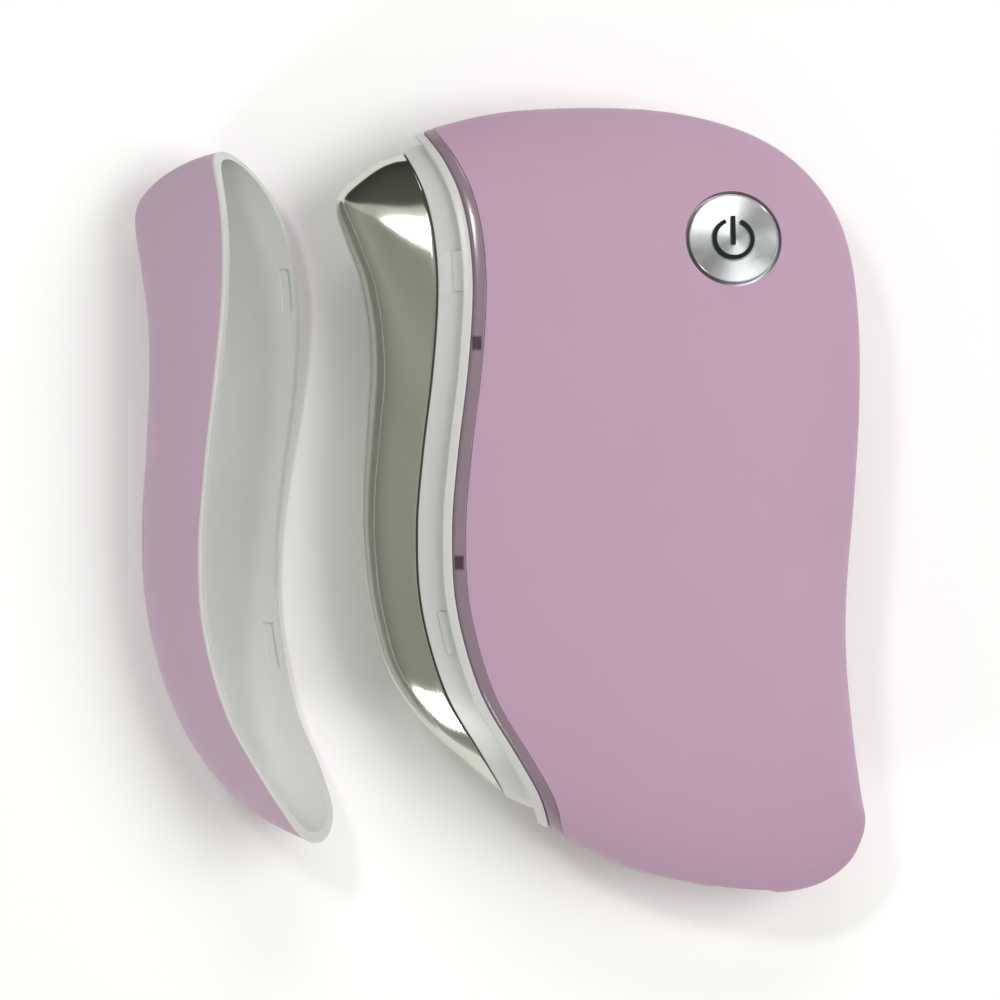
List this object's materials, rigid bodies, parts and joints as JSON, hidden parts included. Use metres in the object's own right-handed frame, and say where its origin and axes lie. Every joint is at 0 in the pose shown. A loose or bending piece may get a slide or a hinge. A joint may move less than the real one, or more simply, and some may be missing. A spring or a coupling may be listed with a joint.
{
  "type": "facial scraping massager",
  "caption": "Palm-size facial scraper and vibrating massager: soft-touch pebble handle with a push button, metal edge head, smoke ring and a push-on cap lying beside it.",
  "frame": {"origin": "centre of the flat on the back that the massager lies on", "axes": "+Y along the handle's length, +Z out of the front face with the button, -X towards the metal head and the cap"},
  "size_m": [0.0938, 0.1004, 0.0233],
  "materials": {
    "soft_touch_pink": "soft-touch paint on ABS",
    "soft_touch_pink_back": "soft-touch paint on ABS",
    "smoke_ring": "smoke-tinted clear polycarbonate, polished",
    "collar_white": "moulded white ABS, semi-gloss",
    "led_dark": "dark LED lens",
    "head_metal": "mirror-polished nickel-chrome plate",
    "gasket_rubber": "matt silicone",
    "inner_white": "moulded ABS",
    "bar_aluminium": "machined",
    "polyimide_film": "amber film",
    "thermistor_black": "epoxy bead",
    "stud_steel": "turned",
    "nut_steel": "turned",
    "button_metal": "circular brushed, clear coat",
    "icon_ink": "printed ink",
    "switch_black": "moulded nylon",
    "switch_steel": "pressed can",
    "board_green": "solder mask on glass-fibre board",
    "screw_steel": "zinc plated",
    "chip_black": "moulded epoxy",
    "ferrite": "ferrite",
    "plug_ivory": "moulded nylon",
    "socket_steel": "bright tin plate",
    "tongue_black": "moulded LCP",
    "cell_foil": "laminate pouch",
    "pad_foam": "foam tape",
    "lead_red": "silicone insulation",
    "motor_steel": "drawn can",
    "shaft_steel": "ground",
    "weight_tungsten": "sintered",
    "lead_blue": "silicone insulation",
    "lead_grey": "silicone insulation",
    "soft_touch_pink_cap": "soft-touch paint on ABS",
    "liner_white": "moulded white ABS, satin"
  },
  "bodies": {
    "handle": {"front_shell": "soft_touch_pink", "back_shell": "soft_touch_pink_back", "light_ring": "smoke_ring", "collar": "collar_white", "indicator_leds": "led_dark", "massage_head": "head_metal", "head_gasket": "gasket_rubber", "head_plate": "inner_white", "heater_bar": "bar_aluminium", "heater_film": "polyimide_film", "thermistor": "thermistor_black", "head_studs": "stud_steel", "head_nuts": "nut_steel", "switch_body": "switch_steel", "button_board": "board_green", "button_board_screws": "screw_steel", "main_board": "board_green", "main_board_screws": "screw_steel", "controller_chip": "chip_black", "charger_chip": "chip_black", "boost_inductor": "ferrite", "board_plugs": "plug_ivory", "charging_socket": "socket_steel", "socket_tongue": "tongue_black", "battery_cell": "cell_foil", "battery_pad": "pad_foam", "battery_leads": "lead_red", "motor_can": "motor_steel", "motor_cradle": "inner_white", "motor_leads": "lead_blue", "heater_leads": "lead_grey"},
    "button": {"power_button": "button_metal", "button_icon": "icon_ink", "switch_plunger": "switch_black"},
    "motor_rotor": {"motor_shaft": "shaft_steel", "motor_weight": "weight_tungsten"},
    "cap": {"cap_shell": "soft_touch_pink_cap", "cap_liner": "liner_white"}
  },
  "joints": [
    {"name": "cap_lift", "type": "hinge", "parent": "handle", "child": "cap", "pos_m": [-0.03692, 0.00463, -0.04038], "axis": [-0.0858, 0.9945, 0.0597], "range_deg": [0, 28]},
    {"name": "button_press", "type": "slide", "parent": "handle", "child": "button", "axis": [-0.1401, -0.2045, -0.9688], "range_m": [0, 0.0004], "stiffness_N_per_m": 1500},
    {"name": "motor_spin", "type": "hinge", "parent": "handle", "child": "motor_rotor", "pos_m": [-0.0125, 0.02, 0.0114], "axis": [0, 1, 0], "continuous": true}
  ]
}
